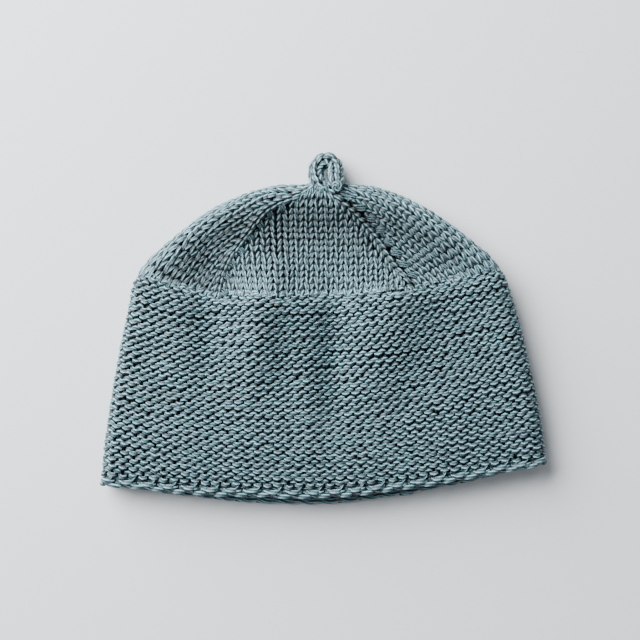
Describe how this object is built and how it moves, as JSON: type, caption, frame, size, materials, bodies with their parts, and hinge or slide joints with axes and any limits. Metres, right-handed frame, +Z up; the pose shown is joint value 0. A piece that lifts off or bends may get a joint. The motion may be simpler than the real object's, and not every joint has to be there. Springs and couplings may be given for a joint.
{
  "type": "knitted baby beanie",
  "caption": "Small knitted beanie lying flat, with a purl-faced body band, a wedge-shaped knit crown, a chained brim edge and a short cord loop on top.",
  "frame": {"origin": "middle of the overall box, on the surface that the hat lies on", "axes": "+X across the hat from side fold to side fold, +Y from the brim to the top loop, +Z up through the two layers, away from the surface"},
  "size_m": [0.1959, 0.1559, 0.0188],
  "materials": {
    "edge_yarn": "matte twisted cotton yarn, chained",
    "body_knit": "matte cotton, purl side of stocking stitch",
    "crown_knit": "matte cotton, knit side of stocking stitch",
    "cord_yarn": "matte cotton, knitted cord"
  },
  "bodies": {
    "root": {"brim_edge": "edge_yarn", "body": "body_knit", "crown": "crown_knit", "top_loop": "cord_yarn"}
  },
  "joints": []
}
